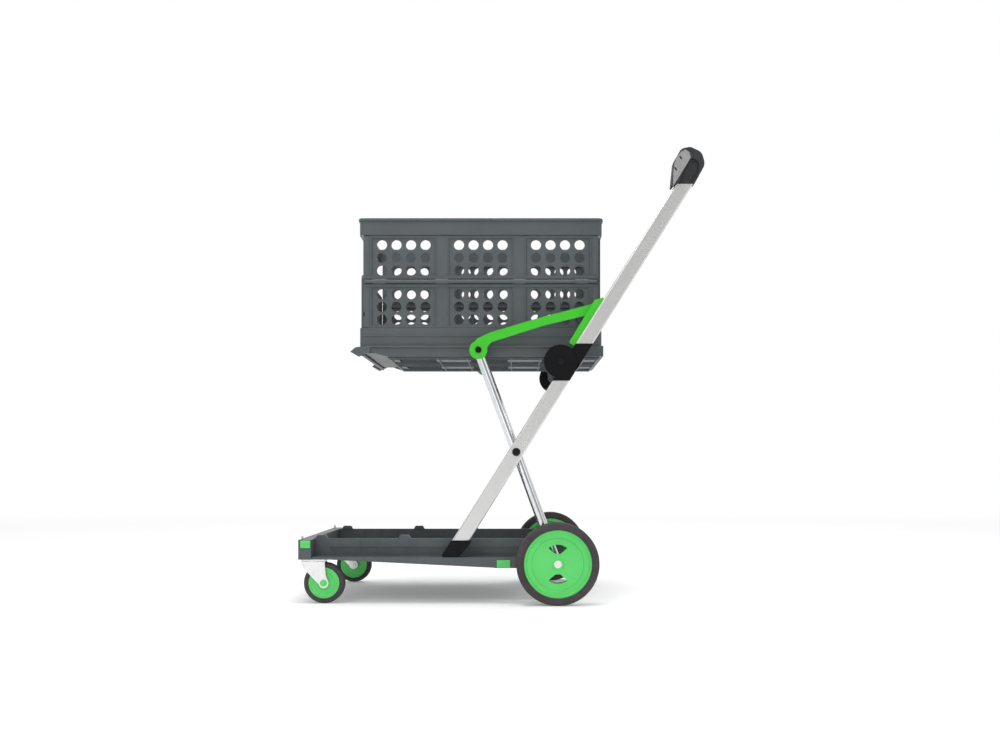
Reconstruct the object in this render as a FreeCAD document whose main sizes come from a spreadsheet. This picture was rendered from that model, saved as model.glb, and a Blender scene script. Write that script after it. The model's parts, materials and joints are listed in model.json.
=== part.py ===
import FreeCAD, Part
import math
import os
import re
from FreeCAD import Placement, Rotation, Vector

# Folding shopping cart with a collapsible crate. Millimetres, +Z up, +X towards the
# handle, origin on the floor below the middle of the cart. The left side is -Y; a right
# hand piece is the mirror image of its left hand twin, except for the two grip ends.

SIZES = {
    # rear wheels, which stand on the floor and carry the rear axle
    "wheel_rad": 92.0, "wheel_disc_rad": 75.0, "wheel_inner": 236.0, "wheel_outer": 274.5,
    "axle_x": 125.5, "axle_rad": 6.0, "running_gap": 0.05,
    # casters
    "caster_axle_rad": 4.0, "fork_reach": 16.6, "fork_wall": 2.6,
    "caster_rad": 46.0, "caster_disc_rad": 34.5, "caster_x": -422.5, "caster_y": 215.0,
    "caster_trail": 24.0, "caster_tread": 22.0, "king_rad": 5.0, "fork_top": 94.8,
    "fork_thick": 2.2,
    # deck
    "deck_front": -455.5, "deck_rear": 142.0, "deck_half": 185.0, "deck_top": 143.0,
    "deck_floor": 104.0, "deck_under": 99.0, "skirt_low": 80.0, "front_half": 236.0,
    "front_block": 29.5, "wall": 6.0, "rail_out": 233.0,
    "groove": 3.5, "pad_long": 14.0, "pad_tall": 8.0, "button_out": 2.0, "button_in": 2.7,
    # folding frame, seen from the side
    "scissor_arm": 264.5, "strut_angle": 110.35, "strut_reach": 246.5, "strut_rad": 11.0,
    "strut_y": 197.0, "bar_angle": 57.9, "bar_deep": 33.0, "bar_in": 214.0, "bar_out": 232.0,
    "bar_wall": 2.0, "hinge_reach": 225.1, "hinge_lead": 23.2, "hinge_rad": 38.0,
    "pin_rad": 5.0, "shoe_top": 142.0, "shoe_low": 105.0, "lower_bar_top": 500.0,
    "upper_bar_low": 583.4, "upper_bar_top": 941.0, "arm_in": 208.6, "arm_out": 213.4,
    "arm_boss": 20.5, "grip_rad": 15.0, "grip_in": 205.0, "grip_out": 236.0,
    "grip_x": 440.0, "grip_z": 988.0,
    # platform and crate
    "shelf_low": 560.0, "shelf_thick": 7.0, "shelf_in": 177.0, "shelf_out": 180.5,
    "shelf_front": -331.0, "shelf_rear": 233.0, "crate_front": -326.0, "crate_rear": 230.0,
    "crate_half": 176.5, "crate_low": 567.5, "crate_sill": 626.0, "panel_tall": 106.0,
    "panel_thick": 8.0, "rim_tall": 38.5, "rim_out": 1.0, "lip_out": 4.0, "lip_tall": 6.0,
    "crate_wall": 6.0, "band_deep": 1.3, "window_deep": 3.5, "flap_hinge": 585.0,
    "front_flap_top": 750.0, "rear_flap_top": 836.0, "hand_long": 50.0,
    "panel_rod_rad": 4.6, "knuckle_rad": 6.2, "knuckle_long": 29.0,
    "hole_rad": 11.7, "hole_pitch_x": 33.4, "hole_pitch_z": 29.2, "window_pitch": 177.0,
    "window_long": 145.0,
}

DOC = FreeCAD.newDocument("ShoppingCart")
SHEET = DOC.addObject("Spreadsheet::Sheet", "Sizes")
for row, (alias, number) in enumerate(SIZES.items(), start=1):
    SHEET.set("A%d" % row, alias)
    SHEET.set("B%d" % row, str(number))
    SHEET.setAlias("B%d" % row, alias)
DOC.recompute()
S = {alias: float(SHEET.get(alias)) for alias in SIZES}
NODES = []


# ---------------------------------------------------------------- helpers

def bind(item, prop, rule):
    """Ties a property to the sheet; each word of the rule that names a size is its cell."""
    text = re.sub(r"[a-z][a-z_]*", lambda m: "Sizes." + m.group(0) if m.group(0) in SIZES
                  else m.group(0), str(rule))
    item.setExpression(prop, text)


def place(item, x, y, z):
    for axis, rule in zip("xyz", (x, y, z)):
        bind(item, "Placement.Base." + axis, rule)


def block(x, y, z):
    """A box given by its low and high limits along each axis."""
    box = DOC.addObject("Part::Box", "Block")
    for prop, (low, high) in zip(("Length", "Width", "Height"), (x, y, z)):
        bind(box, prop, "(%s) - (%s)" % (high, low))
    place(box, x[0], y[0], z[0])
    return box


TURN = {"X": Rotation(Vector(0, 1, 0), 90), "Y": Rotation(Vector(1, 0, 0), -90),
        "Z": Rotation()}


def rod(radius, axis, low, high, centre):
    """A round bar along one axis, between two limits; centre gives the other two places."""
    bar = DOC.addObject("Part::Cylinder", "Rod")
    bind(bar, "Radius", radius)
    bind(bar, "Height", "(%s) - (%s)" % (high, low))
    bar.Placement = Placement(Vector(), TURN[axis])
    spot = list(centre)
    spot.insert("XYZ".index(axis), low)
    place(bar, *spot)
    return bar


def fuse(*shapes):
    joined = DOC.addObject("Part::MultiFuse", "Joined")
    joined.Shapes = list(shapes)
    return joined


def cut(base, *tools):
    opened = DOC.addObject("Part::Cut", "Opened")
    opened.Base = base
    opened.Tool = tools[0] if len(tools) == 1 else fuse(*tools)
    return opened


def common(base, tool):
    shared = DOC.addObject("Part::Common", "Shared")
    shared.Base = base
    shared.Tool = tool
    return shared


def rounded(base, radius, chosen):
    """Fillets the edges that the test picks."""
    DOC.recompute()
    soft = DOC.addObject("Part::Fillet", "Soft")
    soft.Base = base
    edges = [n for n, edge in enumerate(base.Shape.Edges, start=1) if chosen(edge)]
    soft.Edges = [(n, S.get(radius, radius), S.get(radius, radius)) for n in edges]
    return soft


def along(edge, axis):
    if not isinstance(edge.Curve, Part.Line):
        return False
    return edge.Curve.Direction.cross(Vector(*axis)).Length < 1e-6


def turned(item, angle, x, z):
    """Tilts a piece in the side view about a point, positive from +X towards +Z."""
    spin = Rotation(Vector(0, -1, 0), angle)
    centre = Vector(x, 0, z)
    item.Placement = Placement(centre - spin.multVec(centre), spin).multiply(item.Placement)
    return item


def outline(corners):
    """Closed outline from corners (x, z) or (x, z, radius), or one circle."""
    if corners[0] == "circle":
        return [Part.Circle(Vector(corners[1], corners[2]), Vector(0, 0, 1), corners[3])]
    spots = [Vector(c[0], c[1]) for c in corners]
    starts, ends, curves = [], [], []
    for n, corner in enumerate(corners):
        radius = corner[2] if len(corner) > 2 else 0
        here, before, after = spots[n], spots[n - 1], spots[(n + 1) % len(spots)]
        if not radius:
            starts.append(here)
            ends.append(here)
            continue
        back, ahead = (before - here).normalize(), (after - here).normalize()
        half = math.acos(max(-1, min(1, back.dot(ahead)))) / 2
        reach = radius / math.tan(half)
        middle = (back + ahead).normalize() * (radius / math.sin(half))
        starts.append(here + back * reach)
        ends.append(here + ahead * reach)
        near = here + middle - middle.normalize() * radius
        curves.append(Part.Arc(starts[-1], near, ends[-1]))
    for n, end in enumerate(ends):
        start = starts[(n + 1) % len(starts)]
        if end.distanceToPoint(start) > 1e-6:
            curves.append(Part.LineSegment(end, start))
    return curves


def origin_plane(body, role):
    return [f for f in body.Origin.OriginFeatures if f.Role == role][0]


def slices(*layers):
    """A PartDesign body of pads stacked across the cart: (outline, nearer y, further y)."""
    body = DOC.addObject("PartDesign::Body", "Body")
    for corners, near, far in layers:
        sketch = body.newObject("Sketcher::SketchObject", "Sketch")
        sketch.AttachmentSupport = (origin_plane(body, "XZ_Plane"), "")
        sketch.MapMode = "FlatFace"
        bind(sketch, "AttachmentOffset.Base.z", near)
        sketch.addGeometry(outline(corners), False)
        pad = body.newObject("PartDesign::Pad", "Pad")
        pad.Profile = sketch
        pad.Refine = False
        bind(pad, "Length", "(%s) - (%s)" % (far, near))
    body.Tip = pad
    return body


def lathe(profile):
    """A PartDesign body turned about the Y axis from corners (radius, y) or with a radius."""
    body = DOC.addObject("PartDesign::Body", "Body")
    sketch = body.newObject("Sketcher::SketchObject", "Sketch")
    sketch.AttachmentSupport = (origin_plane(body, "XY_Plane"), "")
    sketch.MapMode = "FlatFace"
    sketch.addGeometry(outline(profile), False)
    turn = body.newObject("PartDesign::Revolution", "Turn")
    turn.Profile = sketch
    turn.ReferenceAxis = (sketch, ["V_Axis"])
    turn.Angle = 360
    body.Tip = turn
    return body


def node(item, label):
    item.Label = label
    NODES.append(item)
    return item


def mirrored(item):
    twin = DOC.addObject("Part::Mirroring", "Mirror")
    twin.Source = item
    twin.Normal = Vector(0, 1, 0)
    return twin


def pair(item, label):
    """The left piece and its mirror image, as two nodes."""
    node(item, label + "_left")
    node(mirrored(item), label + "_right")
    return item


def both(item, label):
    """The left piece and its mirror image, as separate solids of one node."""
    group = DOC.addObject("Part::Compound", "Group")
    group.Links = [item, mirrored(item)]
    return node(group, label)


# ---------------------------------------------------------------- the frame's geometry

def polar(x, z, length, angle):
    return (x + length * math.cos(math.radians(angle)),
            z + length * math.sin(math.radians(angle)))


AXLE = (S["axle_x"], S["wheel_rad"])
SCISSOR = polar(*AXLE, S["scissor_arm"], S["strut_angle"])
STRUT_TOP = polar(*SCISSOR, S["strut_reach"], S["strut_angle"])
SHOE_PIVOT = polar(*SCISSOR, -S["scissor_arm"], S["bar_angle"])
FOOT = polar(*SCISSOR, S["hinge_reach"], S["bar_angle"])
ELBOW = polar(*FOOT, S["hinge_lead"], S["bar_angle"] + 90)


def bar_point(forward, lead):
    """A point by its distance up the bars from the elbow, and its lead in front of it."""
    return polar(*polar(*ELBOW, forward, S["bar_angle"]), lead, S["bar_angle"] + 90)


def level_cut(lead, height):
    """The point where a line along the bars, at this lead, meets a height."""
    start = bar_point(0, lead)
    run = (height - start[1]) / math.sin(math.radians(S["bar_angle"]))
    return bar_point(run, lead)


BAR_FRONT = S["bar_deep"] / 2 - S["hinge_lead"]
BAR_BACK = -S["bar_deep"] / 2 - S["hinge_lead"]


# ---------------------------------------------------------------- deck and rear axle

def side(low, high):
    """Limits across the cart for a left hand box that spans low to high from the middle."""
    return ("-(%s)" % high, "-(%s)" % low)


def make_deck():
    """An open tray with a full width front beam; its rear carries the axle."""
    tray = block(("deck_front", "deck_rear"), ("-deck_half", "deck_half"),
                 ("deck_under", "deck_top"))
    tray = rounded(tray, 5, lambda e: along(e, (0, 1, 0)) and e.CenterOfMass.z > S["deck_top"] - 1)
    beam = block(("deck_front", "deck_front + front_block"), ("-front_half", "front_half"),
                 ("deck_under", "deck_top"))
    beam = rounded(beam, 5, lambda e: along(e, (0, 0, 1))
                   and e.CenterOfMass.x < S["deck_front"] + 1)
    inside = block(("deck_front + 24", "deck_rear - wall"),
                   ("wall - deck_half", "deck_half - wall"), ("deck_floor", "deck_top + 10"))
    pockets = [block(("deck_front + 5.5", "deck_front + 28.5"), limits, (124.5, 142.5))
               for limits in (("-front_half - 1", "6 - front_half"),
                              ("front_half - 6", "front_half + 1"))]
    carriers = [block(("axle_x - 17", "deck_rear"), limits, ("skirt_low", "deck_under + 1"))
                for limits in (side("deck_half - 20", "deck_half"),
                               ("deck_half - 20", "deck_half"))]
    axle_way = rod("axle_rad + running_gap", "Y", "-deck_half - 1", "deck_half + 1",
                   ("axle_x", "wheel_rad"))
    grooves = [slices(([(-392, 124), (-379, 105.5), (112, 105.5), (112, 124)], near, far))
               for near, far in (("deck_half - groove", "deck_half + 1"),
                                 ("-deck_half - 1", "groove - deck_half"))]
    floor = ("deck_floor - 1", "deck_floor + 6")
    ribs = [block((x, x + 5), ("wall - deck_half", "deck_half - wall"), floor)
            for x in range(-340, 120, 110)]
    ribs += [block(("deck_front + 23", "deck_rear - wall + 1"), (y - 2.5, y + 2.5), floor)
             for y in (-90, 0, 90)]
    shell = cut(fuse(tray, beam, *carriers), inside, axle_way, *pockets, *grooves)
    return node(fuse(shell, *ribs), "deck_tray")


def make_rail():
    """The ledge that the frame's shoe runs along, its skirt and the boss of a button."""
    ledge = block(("deck_front + front_block", 108), side("deck_half", "rail_out"),
                  ("deck_under", "deck_under + 5"))
    strut_way = block((-40, 109), side("deck_half - 1", "strut_y + 13"), (90, 110))
    skirt = slices(([(-397, 99.5), (-3, 80), (108, 80, 6), (108, 104), (-397, 104)],
                    "rail_out - 4", "rail_out"))
    boss = block((-16, 26), side("rail_out - 14", "rail_out"), ("skirt_low", "deck_under"))
    pocket = block((-10.5, 20.5), side("rail_out - 6", "rail_out + 1"), (80.5, 98.5))
    return pair(cut(fuse(cut(ledge, strut_way), skirt, boss), pocket), "side_rail")


def make_buttons():
    front = block(("deck_front + 6", "deck_front + 28"),
                  side("front_half - button_in", "front_half + button_out"), (125, 142))
    rear = block((-10, 20), side("rail_out - button_in", "rail_out + button_out"), (81, 98))
    for item, face, label in ((front, S["front_half"], "front_button"),
                              (rear, S["rail_out"], "rear_button")):
        outer_edges = -face - S["button_out"] + 0.01
        pair(rounded(item, 1, lambda e: e.CenterOfMass.y < outer_edges), label)


def make_deck_fittings():
    foot, low, high = S["pad_long"], S["deck_top"], S["deck_top"] + S["pad_tall"]
    pads = [slices(([(x - foot, low), (x - foot + 4, high, 4), (x + foot - 4, high, 4),
                     (x + foot, low)], "deck_half - 9", "deck_half")) for x in (-411, -222)]
    group = DOC.addObject("Part::Compound", "Pads")
    group.Links = pads + [mirrored(item) for item in pads]
    node(group, "deck_pads")
    post = rod(3, "Z", "deck_top", "deck_top + 8", ("deck_front + 5", "-212"))
    both(rounded(post, 1, lambda e: e.CenterOfMass.z > S["deck_top"] + 7.9), "corner_posts")
    node(rod("axle_rad", "Y", "5 - wheel_outer", "wheel_outer - 5", ("axle_x", "wheel_rad")),
         "rear_axle")


# ---------------------------------------------------------------- wheels

def make_rear_wheels():
    inner, outer = -S["wheel_inner"], -S["wheel_outer"]
    bore = S["axle_rad"] + S["running_gap"]
    rad = S["wheel_disc_rad"]
    disc = lathe([(bore, inner), (15, inner), (16, inner - 22), (rad - 8, inner - 22),
                  (rad - 7, inner - 1), (rad, inner - 1), (rad, outer + 2),
                  (rad - 4, outer + 2, 1), (rad - 7, outer + 6, 1), (58, outer + 6, 1),
                  (56, outer + 4, 1), (14, outer + 4, 2), (12, outer + 1.5, 1),
                  (bore, outer + 1.5)])
    place(disc, "axle_x", 0, "wheel_rad")
    windows = []
    for facing in (90, 270):
        ends = [polar(*AXLE, r, facing + t) for r, t in ((23, -14), (42, -31), (42, 31), (23, 14))]
        crown = polar(*AXLE, 49, facing)
        window = slices(([ends[0] + (2,), ends[1] + (2,), crown + (34,), ends[2] + (2,),
                          ends[3] + (2,)], "wheel_inner - 1", "wheel_outer + 1"))
        windows.append(window)
    pair(cut(disc, *windows), "rear_wheel")
    wide = [(rad, inner), (S["wheel_rad"] - 4, inner, 3), (S["wheel_rad"], inner - 6, 6),
            (S["wheel_rad"], outer + 6, 6), (S["wheel_rad"] - 4, outer, 3), (rad, outer)]
    tyre = lathe(wide)
    place(tyre, "axle_x", 0, "wheel_rad")
    pair(tyre, "rear_tyre")
    cap = rod(8.5, "Y", "-wheel_outer - 0.5", "1.5 - wheel_outer", ("axle_x", "wheel_rad"))
    cap = rounded(cap, 1, lambda e: e.CenterOfMass.y < outer)
    pair(cap, "wheel_cap")


def make_casters():
    x, y, axle = "caster_x", "-caster_y", "caster_x + caster_trail"
    middle, centre = -S["caster_y"], S["caster_x"] + S["caster_trail"]
    plate = block(("caster_x - 27", "caster_x + 30"), ("-caster_y - 18", "22 - caster_y"),
                  ("deck_under - 3", "deck_under"))
    both(rounded(plate, 6, lambda e: along(e, (0, 0, 1))), "caster_plates")
    king = fuse(rod("king_rad", "Z", "fork_top - 4", "deck_under - 3", (x, y)),
                rod(8, "Z", "fork_top - 4.4", "fork_top - fork_thick - 0.1", (x, y)))
    both(king, "king_pins")
    reach, wall, shoulder = S["fork_reach"], S["fork_wall"], S["fork_top"] - 1
    leg = [(centre - 51.5, shoulder), (centre + 2.5, shoulder), (centre + 5, 64, 10),
           (centre + 11, S["caster_rad"]), (centre, 38), (centre - 9.5, 42), (centre - 45.5, 80, 8)]
    eye = ("circle", centre, S["caster_rad"], 11)
    sides = [slices((leg, near, near + wall), (eye, near, near + wall))
             for near in (-middle - reach, -middle + reach - wall)]
    top = block(("caster_x - 26", "caster_x + 25"), (middle - reach + 0.4, middle + reach - 0.4),
                ("fork_top - fork_thick", "fork_top"))
    cup = rod(17, "Z", "fork_top", "deck_under - 3.3", (x, y))
    way = rod("king_rad + running_gap", "Z", "fork_top - 5", "deck_under", (x, y))
    hole = rod("caster_axle_rad", "Y", middle - 20, middle + 20, (axle, "caster_rad"))
    pair(cut(fuse(*sides, top, cup), way, hole), "caster_fork")
    pin = fuse(rod("caster_axle_rad", "Y", middle - reach, middle + reach, (axle, "caster_rad")),
               rod(6.5, "Y", middle - reach - 2.5, middle - reach, (axle, "caster_rad")),
               rod(6.5, "Y", middle + reach, middle + reach + 2.5, (axle, "caster_rad")))
    pair(pin, "caster_axle")
    rad, half = S["caster_disc_rad"], S["caster_tread"] / 2
    bore = S["caster_axle_rad"] + S["running_gap"]
    disc = lathe([(bore, -half - 2), (9, -half - 2, 1), (9.5, -half + 1),
                  (rad - 4, -half + 1, 1), (rad - 3, -half - 0.5, 0.5), (rad, -half - 0.5),
                  (rad, half + 0.5), (rad - 3, half + 0.5, 0.5), (rad - 4, half - 1, 1),
                  (9.5, half - 1), (9, half + 2, 1), (bore, half + 2)])
    place(disc, axle, y, "caster_rad")
    pair(disc, "caster_wheel")
    tyre = lathe([(rad, -half), (S["caster_rad"], -half, 5), (S["caster_rad"], half, 5),
                  (rad, half)])
    place(tyre, axle, y, "caster_rad")
    pair(tyre, "caster_tyre")


# ---------------------------------------------------------------- folding frame

def make_struts():
    long = S["scissor_arm"] + S["strut_reach"]
    tube = rod("strut_rad", "X", 0, long, ("-strut_y", 0))
    hollow = rod("strut_rad - 1.5", "X", 14, long - 16, ("-strut_y", 0))
    for item in (tube, hollow):
        item.setExpression("Placement.Base.x", None)
    hollow.Placement.Base = Vector(14, -S["strut_y"], 0)
    tube = cut(tube, hollow)
    tube = turned(tube, S["strut_angle"], 0, 0)
    tube.Placement.Base = tube.Placement.Base + Vector(AXLE[0], 0, AXLE[1])
    eye = rod(13, "Y", "-strut_y - strut_rad + 0.6", "strut_rad - 0.6 - strut_y",
              ("axle_x", "wheel_rad"))
    bore = rod("axle_rad + running_gap", "Y", "-strut_y - 20", "20 - strut_y",
               ("axle_x", "wheel_rad"))
    pivot = rod("pin_rad", "Y", "-strut_y - 20", "20 - strut_y", SCISSOR)
    head = rod(15.05, "Y", "-strut_y - strut_rad - 3", "strut_rad - strut_y + 3", STRUT_TOP)
    pair(cut(fuse(tube, eye), bore, pivot, head), "strut")
    pin_way = rod(4, "Y", "-strut_y - 20", "20 - strut_y", STRUT_TOP)
    cap = rod(15, "Y", "-strut_y - strut_rad", "strut_rad - strut_y", STRUT_TOP)
    both(cut(rounded(cap, 1, lambda e: e.Length > 20), pin_way), "strut_caps")
    rivet = fuse(rod("pin_rad", "Y", "-bar_out - 0.5", "bar_out + 0.5", SCISSOR),
                 rod(9, "Y", "-bar_out - 3.3", "-bar_out - 0.4", SCISSOR),
                 rod(9, "Y", "bar_out + 0.4", "bar_out + 3.3", SCISSOR))
    node(rivet, "scissor_rod")


def bar_tube(low, high):
    """A rectangular tube along the bars' line, with both ends cut level."""
    outer = block((-1100, 1100), side("bar_in", "bar_out"), ("-bar_deep / 2", "bar_deep / 2"))
    outer = rounded(outer, 4, lambda e: along(e, (1, 0, 0)))
    inner = block((-1101, 1101), side("bar_in + bar_wall", "bar_out - bar_wall"),
                  ("bar_wall - bar_deep / 2", "bar_deep / 2 - bar_wall"))
    tube = turned(cut(outer, inner), S["bar_angle"], 0, 0)
    tube.Placement.Base = tube.Placement.Base + Vector(SCISSOR[0], 0, SCISSOR[1])
    return common(tube, block((-700, 700), ("-front_half - 20", 0), (low, high)))


def make_lower_bars():
    bar = bar_tube("shoe_top", "lower_bar_top")
    pivot = rod("pin_rad + running_gap", "Y", "-bar_out - 5", "5 - bar_in", SCISSOR)
    pair(cut(bar, pivot), "lower_bar")
    low, high = S["shoe_low"], S["shoe_top"]
    front, back = level_cut(BAR_FRONT + 2, low), level_cut(BAR_BACK - 2, low)
    front_top, back_top = level_cut(BAR_FRONT + 2, high), level_cut(BAR_BACK - 2, high)
    shoe = slices(([front + (3,), (back[0] - 3, back[1], 4), (back_top[0] - 1, back_top[1] - 8),
                    back_top, front_top], "bar_in - 1.5", "bar_out + 1.8"))
    roller_way = rod(4, "Y", "-bar_in - 8", "-bar_in + 8", SHOE_PIVOT)
    pair(cut(shoe, roller_way), "shoe")
    roller = fuse(rod(10.5, "Y", "-bar_in + 4", "-bar_in + 16", SHOE_PIVOT),
                  rod(4, "Y", "-bar_in - 8", "-bar_in + 5", SHOE_PIVOT))
    both(roller, "guide_rollers")


def hinge_half(sign, cut_height, thin, thick, room):
    """Disc, sleeve and block of one half of the elbow, with room for the other half's disc."""
    block_from = sign * (S["hinge_rad"] + 1.5)
    seat = [bar_point(block_from, BAR_FRONT), level_cut(BAR_FRONT, cut_height),
            level_cut(BAR_BACK, cut_height), bar_point(sign * 14, BAR_BACK)]
    sleeve = [bar_point(0, BAR_FRONT - 2), bar_point(block_from + sign, BAR_FRONT),
              bar_point(sign * 20, BAR_BACK), bar_point(sign * 6, BAR_BACK)]
    disc = ("circle",) + ELBOW + (S["hinge_rad"],)
    body = slices((disc, *thin), (sleeve, *thin), (seat, *thick))
    bore = rod("pin_rad + running_gap", "Y", "-bar_out - 5", "5 - bar_in", ELBOW)
    other = rod("hinge_rad + 0.6", "Y", *room, ELBOW)
    return cut(body, bore, other)


def make_elbows():
    outer = ("bar_in + 9.2", "bar_out + 0.4")
    inner = ("bar_in - 0.2", "bar_in + 8.8")
    whole = ("bar_in - 0.2", "bar_out + 0.4")
    pair(hinge_half(-1, S["lower_bar_top"], outer, whole, side("bar_in - 1", "bar_in + 9.2")),
         "lower_hinge")
    pair(hinge_half(1, S["upper_bar_low"], inner, whole, side("bar_in + 8.8", "bar_out + 1")),
         "upper_hinge")
    pin = fuse(rod("pin_rad", "Y", "-bar_out - 0.6", "-shelf_out - 0.8", ELBOW),
               rod(8, "Y", "-bar_out - 2", "-bar_out - 0.5", ELBOW))
    both(pin, "hinge_pins")


def make_upper_bars():
    pair(bar_tube("upper_bar_low", "upper_bar_top"), "upper_bar")
    top = S["upper_bar_top"]
    centre = (S["grip_x"], S["grip_z"])
    wide = [(380, 929, 2), (386, 990, 28), (403, 1020, 16), (424, 1024, 14),
            (449, 1012, 20), (457, 985, 24), (433, top, 3), (389, top)]
    slim = [level_cut(BAR_FRONT, top), level_cut(BAR_FRONT, 1008) + (12,), (452, 1012, 9),
            (457, 985, 24), level_cut(BAR_BACK, top)]
    pocket = [(397, top - 2), (426, top - 2), (442, 968, 8), (443, 990, 12), (425, 1000, 8),
              (410, 978, 4)]
    slots = [[(x, z), (x + 3, z + 1.5), (x + 7, z - 5), (x + 4, z - 6.5)]
             for x, z in ((398, 1001), (385, 977))]
    for name, shape in (("left", wide), ("right", slim)):
        end = slices((shape, "grip_in", "grip_out"))
        end = rounded(end, 3, lambda e: e.Length > 15 and e.CenterOfMass.z > top + 5
                      and abs(e.Vertexes[0].Point.y - e.Vertexes[-1].Point.y) < 0.1)
        hollow = slices((pocket, "grip_out - 6", "grip_out + 1"))
        tools = [rod("grip_rad", "Y", "-grip_in - 12", "-grip_in + 5", centre), hollow]
        if name == "left":
            tools += [slices((slot, "grip_out - 3", "grip_out + 1")) for slot in slots]
        end = cut(end, *tools)
        node(end if name == "left" else mirrored(end), "grip_end_" + name)
    node(rod("grip_rad", "Y", "-grip_in - 12", "grip_in + 12", centre), "grip_bar")
    leg = slices(([bar_point(46, BAR_FRONT) + (2,), bar_point(46, BAR_FRONT + 14) + (5,),
                   bar_point(158, BAR_FRONT + 16) + (3,), bar_point(176, BAR_FRONT) + (2,)],
                  "bar_in + 1", "bar_out - 6"))
    both(leg, "arm_brackets")


def make_link_arms():
    x, z = STRUT_TOP
    boss = ("circle", x, z, S["arm_boss"])
    beam = [(x - 18, z + 8), (x - 2, z + 26, 16), (x + 26, z + 39, 60), (x + 133, z + 71),
            (x + 308, z + 117, 9), (x + 303, z + 93, 9), (x + 280, z + 86, 3), (x + 236, z + 76),
            (x + 148, z + 55), (x + 27, z + 17, 20), (x + 16, z - 3)]
    arm = slices((boss, "arm_in", "arm_out"), (beam, "arm_in", "arm_out"))
    pair(cut(arm, rod("4 + running_gap", "Y", "-arm_out - 1", "1 - arm_in", STRUT_TOP)),
         "link_arm")
    pin = fuse(rod(4, "Y", "-arm_out - 0.5", "-shelf_out - 5.3", STRUT_TOP),
               rod(7, "Y", "-arm_out - 2.5", "-arm_out - 0.3", STRUT_TOP))
    both(pin, "strut_pins")


# ---------------------------------------------------------------- platform and crate

def make_platform():
    """A shallow tray open underneath, with flared front horns and a rail between them."""
    low, high, lip = "shelf_low", "shelf_low + shelf_thick", S["shelf_low"] + 24
    front, rear, start = S["shelf_front"], S["shelf_rear"], S["shelf_front"] + 64
    slab = block((start, "shelf_rear"), ("-shelf_out", "shelf_out"), (low, high))
    tip = [(front - 15, 570), (front - 4, 580, 12), (front + 24, lip)]
    heel = [(start - 33, 571, 8), (front + 4, 559, 3)]
    wall = slices((tip + [(rear, lip), (rear, 560), (start, 560)] + heel, "shelf_in", "shelf_out"),
                  (tip + [(start - 33, lip)] + heel, "shelf_in + 1", "shelf_out + 5"))
    lips = block(("shelf_front + 31", "shelf_rear - 80"), side("shelf_in + 1", "shelf_out + 5"),
                 (lip - 4, lip))
    end = block(("shelf_rear - 2.5", "shelf_rear"), ("-shelf_out", "shelf_out"), (low, 576))
    rail = rod(3.4, "Y", "-shelf_out", "shelf_out", ("shelf_front + 13", "shelf_low + 3.8"))
    windows = [block((x, x + 88), (y - 43, y + 43), (540, 580))
               for x in (-245, -75, 95) for y in (-86, 86)]
    x, z = ELBOW
    lug = slices(([(x - 20, z + 40), (x - 15, z - 14, 12), (x + 15, z - 14, 12),
                   (x + 20, z + 40)], "shelf_in", "shelf_out + 4"))
    bore = rod("pin_rad + running_gap", "Y", "-shelf_out - 6", "1 - shelf_in", ELBOW)
    half = [wall, lips, cut(lug, bore)]
    node(fuse(cut(slab, *windows), end, rail, *half, *[mirrored(item) for item in half]),
         "platform")


def window_tools(low, high, rows):
    """Three sunk windows on the left panel, each with its rows of round holes."""
    tools = []
    for index in (-1, 0, 1):
        middle = "(crate_front + crate_rear) / 2 + (%d) * window_pitch" % index
        tools.append(block(("%s - window_long / 2" % middle, "%s + window_long / 2" % middle),
                           side("crate_half - window_deep", "crate_half + 1"),
                           (low, high)))
        for column in (-1.5, -0.5, 0.5, 1.5):
            for row in (-1, 0, 1):
                spot = ("%s + (%s) * hole_pitch_x" % (middle, column),
                        "%s + (%d) * hole_pitch_z" % (rows, row))
                tools.append(rod("hole_rad", "Y", "-crate_half - 1", "12 - crate_half", spot))
    return tools


def make_panels():
    ends = ("crate_front + 8.6", "crate_rear - 8.6")
    mid = S["crate_sill"] + S["panel_tall"]
    deep = side("crate_half - panel_thick", "crate_half")
    rod_way = rod("knuckle_rad + 0.2", "X", "crate_front", "crate_rear", (-S["crate_half"], mid))
    lower = block(ends, deep, ("crate_sill + 0.3", "crate_sill + panel_tall - 0.3"))
    upper = block(ends, deep, ("crate_sill + panel_tall + 0.3",
                               "crate_sill + 2 * panel_tall - 0.3"))
    band_low, band_high = [
        block(("crate_front", "crate_rear"), side("crate_half - band_deep", "crate_half + 1"), limits)
        for limits in (("crate_sill", mid - 12), (mid + 14, mid + 110))]
    low_tools = window_tools("crate_sill + 5.4", "crate_sill + 92.4", "crate_sill + 48.5")
    high_tools = window_tools(mid + 15.5, mid + 99.5, str(mid + 55.3))
    pair(cut(lower, rod_way, band_low, *low_tools), "lower_panel")
    pair(cut(upper, rod_way, band_high, *high_tools), "upper_panel")
    centre = (S["crate_front"] + S["crate_rear"]) / 2
    half = S["knuckle_long"] / 2
    knuckles = [rod("knuckle_rad", "X", centre + x - half, centre + x + half,
                    (-S["crate_half"], mid)) for x in (-231.5, -88.5, 88.5, 231.5)]
    pair(fuse(rod("panel_rod_rad", "X", "crate_front + 12", "crate_rear - 12",
                  (-S["crate_half"], mid)), *knuckles), "panel_rod")


def ring(front, rear, half, wall_side, wall_end, low, high, radius):
    outer = block((front, rear), ("-(%s)" % half, half), (low, high))
    outer = rounded(outer, radius, lambda e: along(e, (0, 0, 1)))
    inner = block(("%s + %s" % (front, wall_end), "%s - %s" % (rear, wall_end)),
                  ("%s - %s" % (wall_side, half), "%s - %s" % (half, wall_side)),
                  ("%s - 1" % low, "%s + 1" % high))
    return outer, inner


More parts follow.
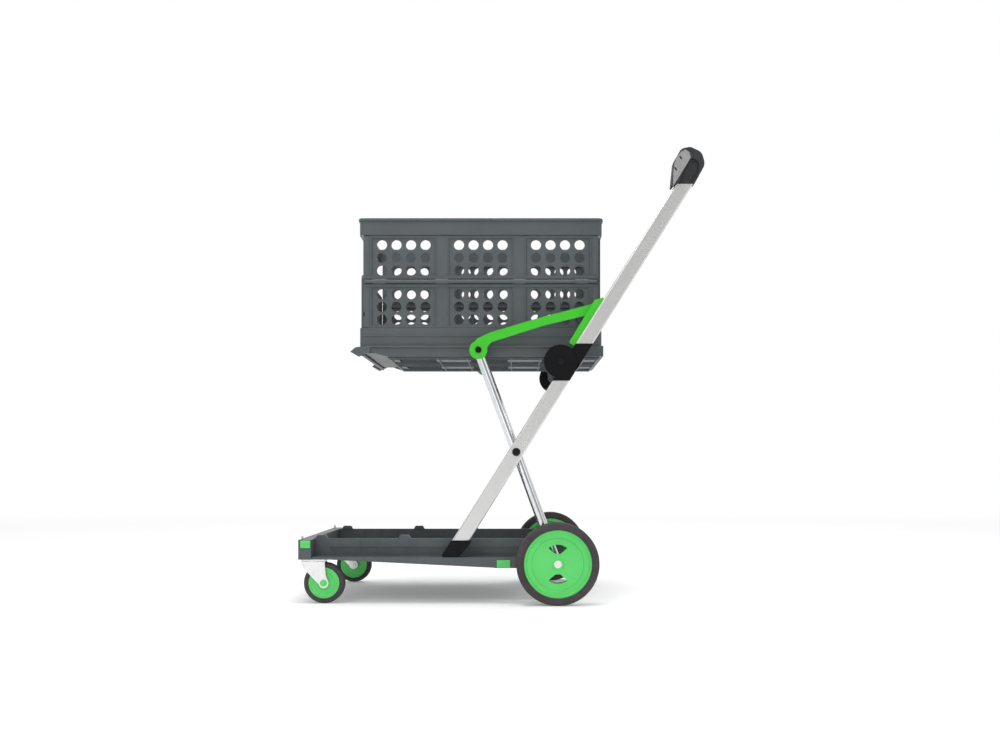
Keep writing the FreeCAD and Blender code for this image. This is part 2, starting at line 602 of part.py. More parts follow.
def make_crate():
    sill = S["crate_sill"]
    outer, inner = ring("crate_front", "crate_rear", "crate_half", "crate_wall", "crate_wall",
                        "crate_low + 4", "crate_sill - 0.3", 10)
    floor = block(("crate_front", "crate_rear"), ("-crate_half", "crate_half"),
                  ("crate_low", "crate_low + 5"))
    floor = rounded(floor, 10, lambda e: along(e, (0, 0, 1)))
    ends = [block(limits, ("8 - crate_half", "crate_half - 8"), (582, 640)) for limits in
            (("crate_front - 1", "crate_front + 8"), ("crate_rear - 8", "crate_rear + 1"))]
    base = cut(fuse(cut(outer, inner), floor), *ends)
    node(base, "crate_base")
    low = sill + 2 * S["panel_tall"] + 0.3
    high = low + S["rim_tall"]
    outer, inner = ring("(crate_front - 0.5)", "(crate_rear + 0.5)", "(crate_half + rim_out)",
                        "(panel_thick)", "3", str(low), str(high), 12)
    lip, lip_inner = ring("(crate_front - 3)", "(crate_rear + 3)", "(crate_half + lip_out)",
                          "(panel_thick + 3)", "5.5", "%s - lip_tall" % high, str(high), 14)
    rim = cut(fuse(outer, lip), inner, lip_inner)
    node(rounded(rim, 1.5, lambda e: e.CenterOfMass.z > high - 0.1
                 and e.BoundBox.XLength + e.BoundBox.YLength > 30), "crate_rim")


def make_flaps():
    wide = ("9.5 - crate_half", "crate_half - 9.5")
    for label, limits in (("front_flap", ("crate_front + 3", "crate_front + 8")),
                          ("rear_flap", ("crate_rear - 8", "crate_rear - 3"))):
        top = S[label + "_top"]
        flap = block(limits, wide, ("flap_hinge", top))
        flap = rounded(flap, 12, lambda e: along(e, (1, 0, 0)) and e.CenterOfMass.z > top - 50)
        hand = block(("%s - 1" % limits[0], "%s + 1" % limits[1]), ("-hand_long", "hand_long"),
                     (top - 46, top - 18))
        hand = rounded(hand, 13, lambda e: along(e, (1, 0, 0)))
        node(cut(flap, hand), label)


make_deck()
make_rail()
make_buttons()
make_deck_fittings()
make_rear_wheels()
make_casters()
make_struts()
make_lower_bars()
make_elbows()
make_upper_bars()
make_link_arms()
make_platform()
make_panels()
make_crate()
make_flaps()
DOC.recompute()

for item in DOC.Objects:
    if "Invalid" in item.State or "Error" in item.State:
        raise RuntimeError("%s (%s) failed: %s" % (item.Name, item.Label, item.State))
os.makedirs("parts", exist_ok=True)
for item in NODES:
    if item.Shape.isNull() or not item.Shape.isValid():
        raise RuntimeError("%s has no valid shape" % item.Label)
    item.Shape.exportStep("parts/%s.step" % item.Label)
whole = Part.makeCompound([item.Shape for item in NODES]).BoundBox
print(len(NODES), "nodes; box", [round(v, 1) for v in (whole.XMin, whole.XMax, whole.YMin,
                                                     whole.YMax, whole.ZMin, whole.ZMax)])
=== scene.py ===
"""Looks of the folding shopping cart: materials, moulded details, light and camera."""
import json
import math

import bmesh
import bpy
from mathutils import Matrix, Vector

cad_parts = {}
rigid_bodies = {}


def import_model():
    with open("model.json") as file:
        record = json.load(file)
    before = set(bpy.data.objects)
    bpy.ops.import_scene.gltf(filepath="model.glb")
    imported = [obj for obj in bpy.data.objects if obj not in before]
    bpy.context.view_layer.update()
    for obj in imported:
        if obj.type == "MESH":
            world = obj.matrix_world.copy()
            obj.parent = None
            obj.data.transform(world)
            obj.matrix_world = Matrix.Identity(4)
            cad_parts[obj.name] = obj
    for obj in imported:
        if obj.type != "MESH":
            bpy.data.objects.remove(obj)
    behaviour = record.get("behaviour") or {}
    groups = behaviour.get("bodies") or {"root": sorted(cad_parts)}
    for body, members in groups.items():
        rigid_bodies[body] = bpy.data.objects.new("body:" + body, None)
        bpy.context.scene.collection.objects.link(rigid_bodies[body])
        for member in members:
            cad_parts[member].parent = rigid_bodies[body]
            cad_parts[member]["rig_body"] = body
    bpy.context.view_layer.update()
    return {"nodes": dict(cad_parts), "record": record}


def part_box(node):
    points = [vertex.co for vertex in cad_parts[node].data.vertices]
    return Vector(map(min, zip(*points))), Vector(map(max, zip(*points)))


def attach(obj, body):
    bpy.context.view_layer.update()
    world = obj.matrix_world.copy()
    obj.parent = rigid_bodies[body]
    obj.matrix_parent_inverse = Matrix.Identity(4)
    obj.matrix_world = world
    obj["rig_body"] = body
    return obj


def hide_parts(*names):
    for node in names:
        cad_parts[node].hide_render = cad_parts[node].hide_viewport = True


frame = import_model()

NODES = frame["nodes"]
SIDES = {"left": -1, "right": 1}
MM = 0.001


# ---------------------------------------------------------------- node tree helpers

class Shader:
    """A material with a Principled shader and short calls for the nodes that feed it."""

    def __init__(self, name, colour, rough, metal=0.0, coat=0.0, specular=0.5):
        self.material = bpy.data.materials.new(name)
        self.material.use_nodes = True
        self.tree = self.material.node_tree
        self.out = self.tree.nodes["Principled BSDF"]
        self.set("Base Color", (*colour, 1))
        self.set("Roughness", rough)
        self.set("Metallic", metal)
        self.set("Coat Weight", coat)
        self.set("Specular IOR Level", specular)
        self.place = self.add("ShaderNodeTexCoord").outputs["Object"]

    def add(self, kind, **settings):
        made = self.tree.nodes.new(kind)
        for key, value in settings.items():
            setattr(made, key, value)
        return made

    def set(self, socket, value):
        self.out.inputs[socket].default_value = value

    def link(self, a, b):
        self.tree.links.new(a, b)

    def mapped(self, scale, turn=0.0):
        """Object coordinates turned about Y and then scaled along each axis."""
        spin = self.add("ShaderNodeMapping")
        spin.inputs["Rotation"].default_value = (0, turn, 0)
        self.link(self.place, spin.inputs["Vector"])
        size = self.add("ShaderNodeMapping")
        size.inputs["Scale"].default_value = scale
        self.link(spin.outputs["Vector"], size.inputs["Vector"])
        return size.outputs["Vector"]

    def noise(self, scale, detail=4.0, rough=0.5, place=None):
        made = self.add("ShaderNodeTexNoise")
        made.inputs["Scale"].default_value = scale
        made.inputs["Detail"].default_value = detail
        made.inputs["Roughness"].default_value = rough
        self.link(place or self.place, made.inputs["Vector"])
        return made.outputs["Fac"]

    def spread(self, value, low, high, start=0.3, end=0.7):
        made = self.add("ShaderNodeMapRange")
        for socket, number in (("From Min", start), ("From Max", end), ("To Min", low),
                               ("To Max", high)):
            made.inputs[socket].default_value = number
        self.link(value, made.inputs["Value"])
        return made.outputs["Result"]

    def ramp(self, value, stops):
        made = self.add("ShaderNodeValToRGB")
        band = made.color_ramp
        while len(band.elements) < len(stops):
            band.elements.new(0.5)
        for element, (at, colour) in zip(band.elements, stops):
            element.position = at
            element.color = (*colour, 1)
        self.link(value, made.inputs["Fac"])
        return made.outputs["Color"]

    def colour(self, output):
        self.link(output, self.out.inputs["Base Color"])

    def roughness(self, value, low, high):
        self.link(self.spread(value, low, high), self.out.inputs["Roughness"])

    def bump(self, value, height, strength=1.0):
        made = self.add("ShaderNodeBump")
        made.inputs["Distance"].default_value = height
        made.inputs["Strength"].default_value = strength
        self.link(value, made.inputs["Height"])
        last = self.out.inputs["Normal"]
        if last.links:
            self.link(last.links[0].from_socket, made.inputs["Normal"])
        self.link(made.outputs["Normal"], last)


def tones(colour, spread):
    """A darker and a lighter version of one colour."""
    return (tuple(c * (1 - spread) for c in colour),
            tuple(min(1, c * (1 + spread)) for c in colour))


# ---------------------------------------------------------------- materials

def moulded(name, colour, rough, grain=2600, relief=0.05, spread=0.12, coat=0.0, specular=0.5):
    """Injection moulded plastic with a fine grain and a slightly cloudy tone."""
    look = Shader(name, colour, rough, coat=coat, specular=specular)
    cloud = look.noise(9, 5, 0.6)
    dark, light = tones(colour, spread)
    look.colour(look.ramp(cloud, [(0.3, dark), (0.7, light)]))
    look.roughness(look.noise(30, 4), rough - 0.06, rough + 0.08)
    look.bump(look.noise(grain, 2), relief * MM, 0.8)
    look.bump(look.noise(14, 2), 0.25 * MM, 0.25)
    return look.material


def brushed(name, colour, turn):
    """Satin anodised aluminium, brushed along the bars."""
    look = Shader(name, colour, 0.36, metal=0.7)
    lines = look.noise(1, 3, 0.7, look.mapped((3, 900, 900), turn))
    dark, light = tones(colour, 0.03)
    look.colour(look.ramp(lines, [(0.3, dark), (0.7, light)]))
    look.roughness(lines, 0.34, 0.4)
    look.bump(lines, 0.004 * MM, 0.3)
    look.bump(look.noise(5, 2), 0.3 * MM, 0.15)
    return look.material


def plated(name, colour, rough, patch=0.0):
    """Chrome or zinc on steel, with cloudy plating."""
    look = Shader(name, colour, rough, metal=1.0)
    cloud = look.noise(70, 6, 0.65)
    dark, light = tones(colour, 0.06 + patch)
    look.colour(look.ramp(cloud, [(0.35, dark), (0.65, light)]))
    look.roughness(look.noise(45, 5), rough * 0.8, rough * 1.5)
    look.bump(look.noise(400, 3), 0.02 * MM, 0.4)
    return look.material


def rubber(name, colour, grain, relief):
    """Matt rubber with a coarse grain and dusty patches."""
    look = Shader(name, colour, 0.75, specular=0.3)
    dust = look.noise(24, 6, 0.7)
    dark, light = tones(colour, 0.25)
    look.colour(look.ramp(dust, [(0.3, dark), (0.75, light)]))
    look.roughness(look.noise(60, 3), 0.66, 0.86)
    look.bump(look.noise(grain, 3), relief * MM, 0.8)
    return look.material


BAR_LEAN = math.radians(57.9)   # the bars' slope in the side view, which the brushing follows
LOOKS = {
    "grey_plastic": moulded("grey_plastic", (0.078, 0.091, 0.097), 0.46, relief=0.06),
    "black_plastic": moulded("black_plastic", (0.006, 0.0063, 0.007), 0.5, relief=0.08,
                             specular=0.12),
    "black_steel": moulded("black_steel", (0.006, 0.006, 0.007), 0.4, grain=1200, relief=0.03,
                           specular=0.2),
    "grip_rubber": rubber("grip_rubber", (0.035, 0.036, 0.038), 1800, 0.09),
    "satin_aluminium": brushed("satin_aluminium", (0.66, 0.66, 0.655), BAR_LEAN),
    "bright_steel": plated("bright_steel", (0.64, 0.65, 0.67), 0.14),
    "zinc_steel": plated("zinc_steel", (0.70, 0.70, 0.70), 0.28, patch=0.02),
    "green_plastic": moulded("green_plastic", (0.10, 0.66, 0.14), 0.34, grain=1500,
                             relief=0.02, spread=0.07, coat=0.1),
    "arm_green": moulded("arm_green", (0.058, 0.54, 0.030), 0.36, grain=1500, relief=0.02,
                         spread=0.06, specular=0.25),
    # the grip end's pale patch of painted sheen is drawn in this pale grey rubber
    "pale_rubber": rubber("pale_rubber", (0.30, 0.30, 0.30), 1800, 0.09),
    "tyre": rubber("tyre", (0.062, 0.054, 0.058), 900, 0.12),
    "white_plastic": moulded("white_plastic", (0.82, 0.82, 0.81), 0.4, spread=0.03),
}


# ---------------------------------------------------------------- mesh helpers

def add_piece(name, mesh, look, body, bevel=0.0):
    """Links a finished mesh as a piece with its material, and lets it ride on a body."""
    item = bpy.data.objects.new(name, mesh)
    bpy.context.scene.collection.objects.link(item)
    mesh.materials.append(LOOKS[look])
    for face in mesh.polygons:
        face.use_smooth = True
    if bevel:
        soften(item, bevel, 40)
    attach(item, body)
    return item


def soften(item, width, angle):
    """Rounds the edges that turn by more than an angle in degrees."""
    soft = item.modifiers.new("Soft edges", "BEVEL")
    soft.width = width
    soft.segments = 2
    soft.limit_method = "ANGLE"
    soft.angle_limit = math.radians(angle)
    soft.harden_normals = True


def mesh_from(*fills):
    """A mesh from functions that each fill a bmesh, with its normals facing out."""
    work = bmesh.new()
    for fill in fills:
        fill(work)
    bmesh.ops.recalc_face_normals(work, faces=work.faces)
    mesh = bpy.data.meshes.new("mesh")
    work.to_mesh(mesh)
    work.free()
    return mesh


def box_fill(low, high):
    """A block between two corners, given in any order."""
    def fill(work):
        verts = bmesh.ops.create_cube(work, size=1)["verts"]
        for vert in verts:
            vert.co = Vector([(a + b) / 2 + v * abs(b - a)
                              for a, b, v in zip(low, high, vert.co)])
    return fill


def lathe_fill(profile, x, z, steps=96):
    """A closed profile of (radius, y) turned about the line through (x, z) along Y."""
    def fill(work):
        rings = []
        for n in range(steps):
            turn = 2 * math.pi * n / steps
            rings.append([work.verts.new((x + r * math.cos(turn), y, z + r * math.sin(turn)))
                          for r, y in profile])
        for here, after in zip(rings, rings[1:] + rings[:1]):
            for k in range(len(profile)):
                work.faces.new((here[k - 1], here[k], after[k], after[k - 1]))
    return fill


def prism_fill(outline, near, far):
    """An outline of (x, z) points drawn out across the cart."""
    def fill(work):
        front = [work.verts.new((x, near, z)) for x, z in outline]
        back = [work.verts.new((x, far, z)) for x, z in outline]
        work.faces.new(front)
        work.faces.new(list(reversed(back)))
        for k in range(len(outline)):
            work.faces.new((front[k - 1], front[k], back[k], back[k - 1]))
    return fill


def arc_band(x, z, radius, width, start, end, near, far, steps):
    """A flat curved strip in the side view, angles in degrees."""
    turns = [math.radians(start + (end - start) * n / steps) for n in range(steps + 1)]
    edge = [(x + r * math.cos(t), z + r * math.sin(t))
            for r, run in ((radius - width / 2, turns), (radius + width / 2, turns[::-1]))
            for t in run]
    return prism_fill(edge, near, far)


def middle(node):
    """The centre of a node's box."""
    low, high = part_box(node)
    return (low + high) / 2


def outer_face(node, sign):
    """The y of a node's box on one side of the cart."""
    low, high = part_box(node)
    return high.y if sign > 0 else low.y


# ---------------------------------------------------------------- crate

WINDOW_PITCH, WINDOW_LONG = 177 * MM, 145 * MM
SLOT_SHADE_UP, SLOT_SHADE_TALL = 26 * MM, 9 * MM   # a panel's painted slot shade, a thin black sheet flush with its face: height above its foot, own height
LEDGE_Z = 607.5 * MM   # middle of the ledge along the crate's long sides
GRID_PITCH = 26 * MM


def panel_details(name, sign):
    """Ribs round each window inside a side panel; end posts and ridges in the outer recess; on a
    lower panel, a black sheet of painted shade where its end slot is.
    """
    low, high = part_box(name)
    inside, outside = outer_face(name, -sign), outer_face(name, sign)
    lower = name.startswith("lower")
    rib, deep, border, post, ridge = 2.2 * MM, 2.5 * MM, 6 * MM, 13 * MM, 1.3 * MM
    inset = inside - sign * deep
    sunk, proud = outside - sign * 1.5 * MM, outside - sign * 0.15 * MM
    post_low, post_high = (1, 12) if lower else (14, 1)
    ridge_low, ridge_high = (5, 92) if lower else (15, 99)
    centres = [(low.x + high.x) / 2 + n * WINDOW_PITCH for n in (-1, 0, 1)]
    fills = []
    for x in centres:
        a = x - WINDOW_LONG / 2 - rib
        b = a + WINDOW_LONG + 2 * rib
        for start in (a, b):
            fills.append(box_fill((start, inset, low.z + rib),
                                  (start + rib, inside, high.z - rib)))
        for z in (low.z + border, high.z - border - rib):
            fills.append(box_fill((a, inset, z), (b, inside, z + rib)))
    for x in (low.x, high.x - post):
        fills.append(box_fill((x, sunk, low.z + post_low * MM),
                              (x + post, proud, high.z - post_high * MM)))
    edge = WINDOW_LONG / 2 + 2 * MM
    for middle_x in centres:
        for x in (middle_x - edge, middle_x + edge):
            fills.append(box_fill((x - ridge, sunk, low.z + ridge_low * MM),
                                  (x + ridge, proud, low.z + ridge_high * MM)))
    add_piece(name + "_ribs", mesh_from(*fills), "grey_plastic", name, 0.3 * MM)
    if lower:
        # painted shade: a thin black sheet flush with the outer face stands for the dark slot at
        # the panel's end
        z = low.z + SLOT_SHADE_UP
        slot_shade = box_fill((low.x + 0.5 * MM, proud, z), (low.x + 3 * MM, outside, z + SLOT_SHADE_TALL))
        add_piece(name + "_slot_shade", mesh_from(slot_shade), "black_plastic", name)


def crate_details():
    """Ledges round the crate's base, the grid on its floor and a bead below its rim."""
    low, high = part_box("crate_base")
    proud, half = 1.8 * MM, 1.4 * MM
    fills = []
    for sign in SIDES.values():
        face = outer_face("crate_base", sign)
        fills.append(box_fill((low.x + 6 * MM, face, LEDGE_Z - half),
                              (high.x - 6 * MM, face + sign * proud, LEDGE_Z + half)))
        fills.append(box_fill((low.x + 9 * MM, face, low.z + 5 * MM),
                              (high.x - 9 * MM, face + sign * 0.4 * MM, low.z + 8 * MM)))
    for x, out in ((low.x, -1), (high.x, 1)):
        fills.append(box_fill((x, low.y + 9 * MM, low.z + 6 * MM),
                              (x + out * proud, high.y - 9 * MM, low.z + 9 * MM)))
    add_piece("crate_ledges", mesh_from(*fills), "grey_plastic", "crate", 0.6 * MM)
    floor, tall, thin, inset = low.z + 5 * MM, 2 * MM, 1.8 * MM, 12 * MM
    bars = []
    for n in range(-9, 10):
        x = (low.x + high.x) / 2 + n * GRID_PITCH
        bars.append(box_fill((x - thin / 2, low.y + inset, floor),
                             (x + thin / 2, high.y - inset, floor + tall)))
    for n in range(-5, 6):
        y = n * GRID_PITCH
        bars.append(box_fill((low.x + inset, y - thin / 2, floor),
                             (high.x - inset, y + thin / 2, floor + tall * 0.96)))
    add_piece("crate_floor_grid", mesh_from(*bars), "grey_plastic", "crate")
    rim_low, rim_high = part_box("crate_rim")
    bead = []
    for sign in SIDES.values():
        face = sign * (abs(outer_face("crate_rim", sign)) - 3 * MM)
        bead.append(box_fill((rim_low.x + 16 * MM, face, rim_low.z + 0.8 * MM),
                             (rim_high.x - 16 * MM, face + sign * 0.5 * MM, rim_low.z + 2.4 * MM)))
    add_piece("crate_rim_bead", mesh_from(*bead), "grey_plastic", "crate_rim", 0.2 * MM)


def flap_details(name, inwards):
    """Ribs inside the middle of an end wall, clear of the side panels' folded edges."""
    low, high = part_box(name)
    face = high.x if inwards > 0 else low.x
    thin, rise = 2.4 * MM, 2.2 * MM
    hand = high.z - 52 * MM
    spans = [(y * MM - thin / 2, y * MM + thin / 2, low.z + 8 * MM, hand)
             for y in (-50, -25, 0, 25, 50)]
    spans += [(-51 * MM, 51 * MM, z, z + thin)
              for z in (low.z + 12 * MM, (low.z + hand) / 2, hand - thin)]
    for z in (-14, -48):
        spans.append((-57 * MM, 57 * MM, high.z + z * MM, high.z + z * MM + thin))
    for y in (-57, 57):
        spans.append((y * MM - thin / 2, y * MM + thin / 2, high.z - 48 * MM,
                      high.z - 14 * MM + thin))
    fills = [box_fill((face, y_low, z_low), (face + inwards * rise, y_high, z_high))
             for y_low, y_high, z_low, z_high in spans]
    add_piece(name + "_ribs", mesh_from(*fills), "grey_plastic", name, 0.3 * MM)


# ---------------------------------------------------------------- wheels

REAR_DISC, CASTER_DISC = 75 * MM, 34.5 * MM   # radius on which each kind of tyre sits
SPOKE_INNER, SPOKE_OUTER = 238 * MM, 257.4 * MM   # across the cart, in the disc's hollow
SPOKE_ANGLES = (0, 25, 50, 130, 155, 180, 205, 230, 310, 335)   # clear of the two windows
TRACE_FACE, TRACE_RISE = 270.4 * MM, 0.5 * MM   # the disc's outer face, and the trace on it


def ring_profile(inner, outer, near, far, soft, steps=6):
    """A ring's section with rounded outer corners, from inner to outer radius."""
    section = [(inner, near)]
    for start, y in ((-90, near + soft), (0, far - soft)):
        for n in range(steps + 1):
            turn = math.radians(start + 90 * n / steps)
            section.append((outer - soft + soft * math.cos(turn), y + soft * math.sin(turn)))
    return section + [(inner, far)]


def tyre(node, soft, grooves):
    """A round tyre in place of the plain one, with thin grooves round its tread."""
    low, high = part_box(node)
    centre = (low + high) / 2
    outer = (high.z - low.z) / 2
    inner = REAR_DISC if "rear" in node else CASTER_DISC
    section = ring_profile(inner, outer, low.y, high.y, soft)
    half = len(section) // 2
    cuts = []
    for y in grooves:
        for dy, depth in ((-0.9, 0), (-0.5, 1.1), (0.5, 1.1), (0.9, 0)):
            cuts.append((outer - depth * MM, centre.y + (y + dy) * MM))
    section = section[:half] + cuts + section[half:]
    item = add_piece(node + "_tread", mesh_from(lathe_fill(section, centre.x, centre.z, 160)),
                     "tyre", NODES[node]["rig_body"])
    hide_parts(node)


def rear_wheel_details(side, sign):
    """Spokes in the hollow of the disc, and the raised trace round its outer face."""
    hub = middle("rear_axle")
    body = "rear_wheel_" + side
    near, far = sign * SPOKE_INNER, sign * SPOKE_OUTER
    root, tip, half = 15 * MM, 68 * MM, 1.1 * MM
    fills = []
    for angle in SPOKE_ANGLES:
        turn = math.radians(angle)
        along = Vector((math.cos(turn), math.sin(turn)))
        across = Vector((-along.y, along.x)) * half
        ends = [along * root + across, along * tip + across, along * tip - across,
                along * root - across]
        fills.append(prism_fill([(hub.x + p.x, hub.z + p.y) for p in ends], near, far))
    fills.append(lathe_fill([(43 * MM, near), (45 * MM, near), (45 * MM, far), (43 * MM, far)],
                            hub.x, hub.z))
    add_piece(body + "_spokes", mesh_from(*fills), "green_plastic", body, 0.2 * MM)
    face = sign * TRACE_FACE
    proud = face + sign * TRACE_RISE
    start, end, large, small, width = 42, 318, 51 * MM, 46 * MM, 0.6 * MM
    trace = [arc_band(hub.x, hub.z, large, 1.1 * MM, start, end, face, proud, 96)]
    for turn in (start, end):
        for radius in (large, small):
            x = hub.x + radius * math.cos(math.radians(turn))
            z = hub.z + radius * math.sin(math.radians(turn))
            trace.append(box_fill((x - width, face, z - width), (x + 5 * MM, proud, z + width)))
    add_piece(body + "_trace", mesh_from(*trace), "green_plastic", body, 0.15 * MM)


def caster_details(side, sign):
    """A green cap on the outer end of the axle, and two rings on each face of the disc."""
    axle = middle("caster_axle_" + side)
    wheel = middle("caster_wheel_" + side)
    head = outer_face("caster_axle_" + side, sign)
    cap = [(r * MM, head + sign * y * MM) for r, y in (
        (0.4, 0.9), (5.2, 0.9), (6.9, 0.2), (6.9, -1.4), (7.8, -1.5), (7.8, -2.1), (0.4, -2.1))]
    add_piece("caster_cap_" + side, mesh_from(lathe_fill(cap, axle.x, axle.z, 48)),
              "green_plastic", "caster_swivel_" + side, 0.2 * MM)
    fills = []
    for way in (-1, 1):
        face = wheel.y + way * 10 * MM
        proud = face + way * 0.7 * MM
        for radius in (16, 24):
            inner, outer = (radius - 0.6) * MM, (radius + 0.6) * MM
            section = [(inner, face), (outer, face), (outer, proud), (inner, proud)]
            fills.append(lathe_fill(section, wheel.x, wheel.z, 72))
    add_piece("caster_wheel_rings_" + side, mesh_from(*fills), "green_plastic",
              "caster_wheel_" + side)


# ---------------------------------------------------------------- deck and frame

TRAY_HALF, TRAY_WALL = 185 * MM, 6 * MM   # half of the tray's width, and its side wall
RIB_START, RIB_PITCH = -366 * MM, 42 * MM
ARM_FACE = 213.4 * MM   # a link arm's outer face
AXIS_GAP = 0.3 * MM   # how near a turned profile may come to its own axis


def deck_details():
    """Thin upright ribs on both faces of the tray's side walls."""
    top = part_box("deck_tray")[1].z
    thin, rise = 1.4 * MM, 0.8 * MM
    inner = TRAY_HALF - TRAY_WALL
    ribs = []
    for sign in SIDES.values():
        for n in range(11):
            x = RIB_START + n * RIB_PITCH
            ribs.append(box_fill((x, sign * TRAY_HALF, 126 * MM),
                                 (x + thin, sign * (TRAY_HALF + rise), top - 4 * MM)))
            ribs.append(box_fill((x, sign * inner, 105 * MM),
                                 (x + thin, sign * (inner - thin), top - 2 * MM)))
    add_piece("deck_tray_ribs", mesh_from(*ribs), "grey_plastic", "deck", 0.2 * MM)


def button_details(name, sign):
    """Three finger ridges on a push button."""
    low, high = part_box(name)
    face = outer_face(name, sign)
    half, inset, pitch = 0.7 * MM, 4 * MM, 4.4 * MM
    fills = []
    for n in (-1, 0, 1):
        z = (low.z + high.z) / 2 + n * pitch
        fills.append(box_fill((low.x + inset, face, z - half),
                              (high.x - inset, face + sign * half, z + half)))
    add_piece(name + "_ridges", mesh_from(*fills), "green_plastic", name, 0.3 * MM)


def dome(name, node, radius, sign, rise, body, steps=5):
    """A low round steel head on the outer end of a pin or rivet."""
    place, face = middle(node), outer_face(node, sign)
    profile = [(AXIS_GAP, face), (radius, face)]
    for n in range(1, steps + 1):
        turn = math.radians(90 * n / steps)
        profile.append((max(AXIS_GAP, radius * math.cos(turn)),
                        face + sign * rise * math.sin(turn)))
    add_piece(name, mesh_from(lathe_fill(profile, place.x, place.z, 48)), "black_steel", body)


def frame_details(side, sign):
    """Rivet heads at the scissor and the elbow, the link arm's raised disc, and a black hexagon of
    painted shade for the socket in its pin.
    """
    dome("scissor_rivet_" + side, "scissor_rod", 8.4 * MM, sign, 1.1 * MM, "strut_frame")
    pivot = middle("strut_caps")
    face, rise, reach = outer_face("strut_pins", sign), 0.3 * MM, 3.4 * MM
    # painted shade: a black hexagon raised 0.3 mm stands for the dark hex socket in the pin
    socket_shade_outline = [(pivot.x + reach * math.cos(math.radians(60 * n)),
                pivot.z + reach * math.sin(math.radians(60 * n))) for n in range(6)]
    add_piece("arm_socket_shade_" + side, mesh_from(prism_fill(socket_shade_outline, face, face + sign * rise)),
              "black_steel", "strut_frame")
    near, far, inner, outer = sign * ARM_FACE, sign * (ARM_FACE + rise), 8 * MM, 19.6 * MM
    disc = lathe_fill([(inner, near), (outer, near), (outer, far), (inner, far)],
                      pivot.x, pivot.z, 96)
    add_piece("arm_disc_" + side, mesh_from(disc), "arm_green", "link_arms", 0.1 * MM)
    dome("elbow_rivet_" + side, "hinge_pins", 5.4 * MM, sign, 0.6 * MM, "lower_frame")


def handle_details():
    """Ringed sleeves on the grip bar, and on the left grip end a pale patch of painted sheen over
    the fin and two black marks of painted shade for its slots.
    """
    low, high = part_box("grip_bar")
    centre = (low + high) / 2
    radius = (high.z - low.z) / 2
    near, far, count, sunk = 6 * MM, 196 * MM, 40, 0.3 * MM
    for side, sign in SIDES.items():
        profile = []
        for n in range(count + 1):
            y = near + (far - near) * n / count
            swell = 1.5 * MM + 0.35 * MM * (1 if n % 2 else -1)
            end = min(n, count - n)
            profile.append((radius + (0.5 * MM if end < 2 else swell), sign * y))
        profile += [(radius - sunk, sign * far), (radius - sunk, sign * near)]
        add_piece("grip_sleeve_" + side, mesh_from(lathe_fill(profile, centre.x, centre.z, 64)),
                  "grip_rubber", "handle")
    face = outer_face("grip_end_left", -1)
    # painted highlight: a pale patch over the fin stands for its sheen; painted shade: two thin
    # black marks stand for the dark slots
    sheen_patch = [(384, 934), (396, 953), (414, 982), (424, 999), (421, 1011), (412, 1017),
            (403, 1013), (393, 1001), (388, 988), (385, 966)]
    slots = [[(x, z), (x + 3, z + 1.5), (x + 7, z - 5), (x + 4, z - 6.5)]
             for x, z in ((398, 1001), (387, 976))]
    for name, shapes, look, proud in (("grip_painted_sheen", [sheen_patch], "pale_rubber", 0.5),
                                      ("grip_slot_shade", slots, "black_plastic", 0.6)):
        fills = [prism_fill([(x * MM, z * MM) for x, z in shape], face, face - proud * MM)
                 for shape in shapes]
        add_piece(name, mesh_from(*fills), look, "handle", 0.3 * MM)


def platform_details():
    """Long ribs under the platform and cross ribs between its windows."""
    under, thin, half_width = 560 * MM, 3 * MM, 168 * MM
    fills = []
    for y in (-165, -138, -34, 0, 34, 138, 165):
        fills.append(box_fill((-262 * MM, y * MM - thin / 2, under - 4 * MM),
                              (225 * MM, y * MM + thin / 2, under)))
    for x in (-262, -150, -82, 20, 88, 190, 222):
        fills.append(box_fill((x * MM, -half_width, under - 3 * MM),
                              (x * MM + thin, half_width, under)))
    add_piece("platform_ribs", mesh_from(*fills), "grey_plastic", "platform", 0.4 * MM)


def finish_cad_nodes():
    """Every carried-over node gets its material and a softened edge."""
    slots = {part["node"]: part["material_slot"] for part in frame["record"]["subparts"]}
    for name, item in NODES.items():
        item.data.materials.clear()
        item.data.materials.append(LOOKS[slots[name]])
        soften(item, 0.7 * MM, 50)


# ---------------------------------------------------------------- stage

def area_light(name, place, target, size, power):
    lamp = bpy.data.lights.new(name, "AREA")
    lamp.shape = "DISK"
    lamp.size = size
    lamp.energy = power
    item = bpy.data.objects.new(name, lamp)
    bpy.context.scene.collection.objects.link(item)
    item.location = place
    item.rotation_euler = (Vector(target) - Vector(place)).to_track_quat("-Z", "Y").to_euler()


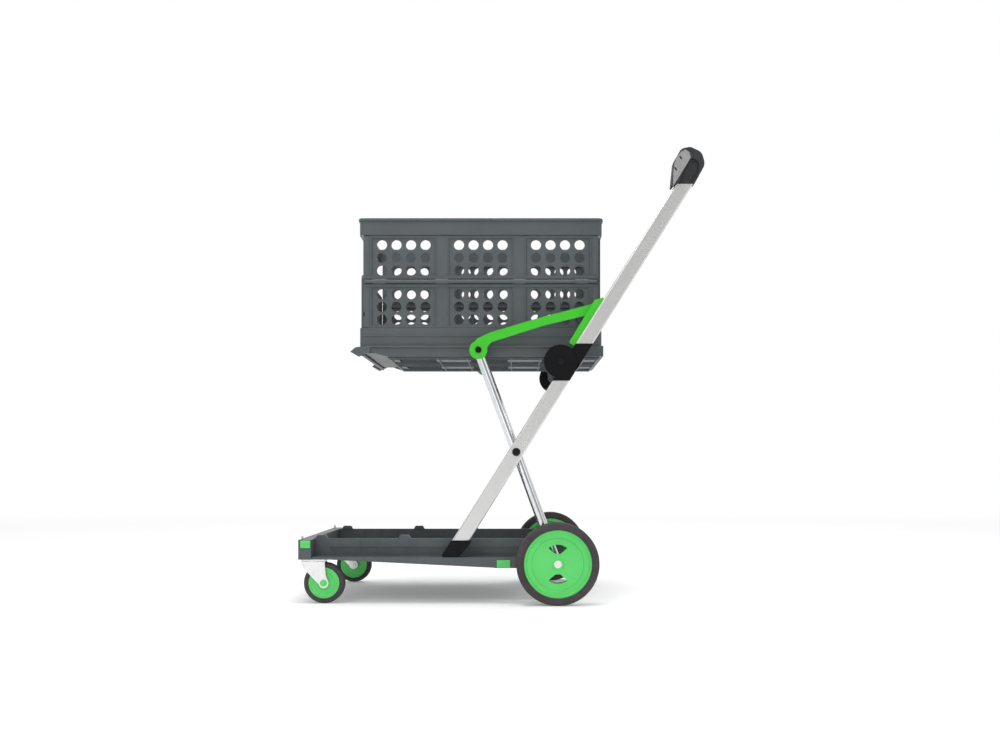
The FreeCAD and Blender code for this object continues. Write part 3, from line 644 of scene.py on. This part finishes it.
def make_stage():
    scene = bpy.context.scene
    world = bpy.data.worlds.new("Studio")
    scene.world = world
    world.use_nodes = True
    tree = world.node_tree
    tree.nodes["Background"].inputs["Strength"].default_value = 1.0
    place = tree.nodes.new("ShaderNodeTexCoord")
    parts = tree.nodes.new("ShaderNodeSeparateXYZ")
    tree.links.new(place.outputs["Generated"], parts.inputs["Vector"])
    fade = tree.nodes.new("ShaderNodeMapRange")
    for socket, number in (("From Min", -0.3), ("From Max", 0.3), ("To Min", 0.46),
                           ("To Max", 1.0)):
        fade.inputs[socket].default_value = number
    tree.links.new(parts.outputs["Y"], fade.inputs["Value"])
    tree.links.new(fade.outputs["Result"], tree.nodes["Background"].inputs["Color"])
    scene.view_settings.view_transform = "Standard"
    bpy.ops.mesh.primitive_plane_add(size=60, location=(0, 0, 0))
    floor = bpy.context.object
    floor.name = "floor"
    paper = Shader("floor_paper", (0.93, 0.93, 0.93), 0.9, specular=0.0)
    paper.set("Emission Color", (1, 1, 1, 1))
    away = paper.add("ShaderNodeSeparateXYZ")
    paper.link(paper.place, away.inputs["Vector"])
    paper.link(paper.spread(away.outputs["Y"], 0.16, 1.0, 0.3, 4.0),
               paper.out.inputs["Emission Strength"])
    paper.colour(paper.ramp(paper.spread(away.outputs["Y"], 0.0, 1.0, 0.3, 4.0),
                            [(0.0, (0.9, 0.9, 0.9)), (1.0, (0.0, 0.0, 0.0))]))
    floor.data.materials.append(paper.material)
    area_light("key", (-1.2, -2.4, 2.4), (0, 0, 0.5), 1.8, 16)
    area_light("top", (-0.2, -0.5, 2.6), (0, 0, 0.4), 1.4, 26)
    area_light("fill", (2.2, -1.8, 1.4), (0, 0, 0.5), 1.6, 6)
    area_light("rim", (0.4, 2.4, 2.2), (0, 0, 0.6), 1.6, 20)
    area_light("low", (-0.7, -2.2, 0.3), (-0.35, 0, 0.08), 0.9, 2)


def make_camera():
    """Square on to the cart's left side, level, a little above the tray."""
    lens = bpy.data.cameras.new("camera")
    lens.sensor_width = 36
    lens.lens = 37.48
    lens.shift_x = -0.016
    lens.shift_y = 0.090
    camera = bpy.data.objects.new("camera", lens)
    bpy.context.scene.collection.objects.link(camera)
    camera.location = (0.033, -2.565, 0.311)
    camera.rotation_euler = (math.radians(90), 0, 0)
    bpy.context.scene.camera = camera


make_camera()
make_stage()
finish_cad_nodes()
crate_details()
flap_details("front_flap", 1)
flap_details("rear_flap", -1)
for side, sign in SIDES.items():
    for panel in ("lower_panel_", "upper_panel_"):
        panel_details(panel + side, sign)
    tyre("rear_tyre_" + side, 6 * MM, (-9, -3, 3, 9))
    tyre("caster_tyre_" + side, 5 * MM, (-2.5, 2.5))
    rear_wheel_details(side, sign)
    caster_details(side, sign)
    for button in ("front_button_", "rear_button_"):
        button_details(button + side, sign)
    frame_details(side, sign)
deck_details()
handle_details()
platform_details()
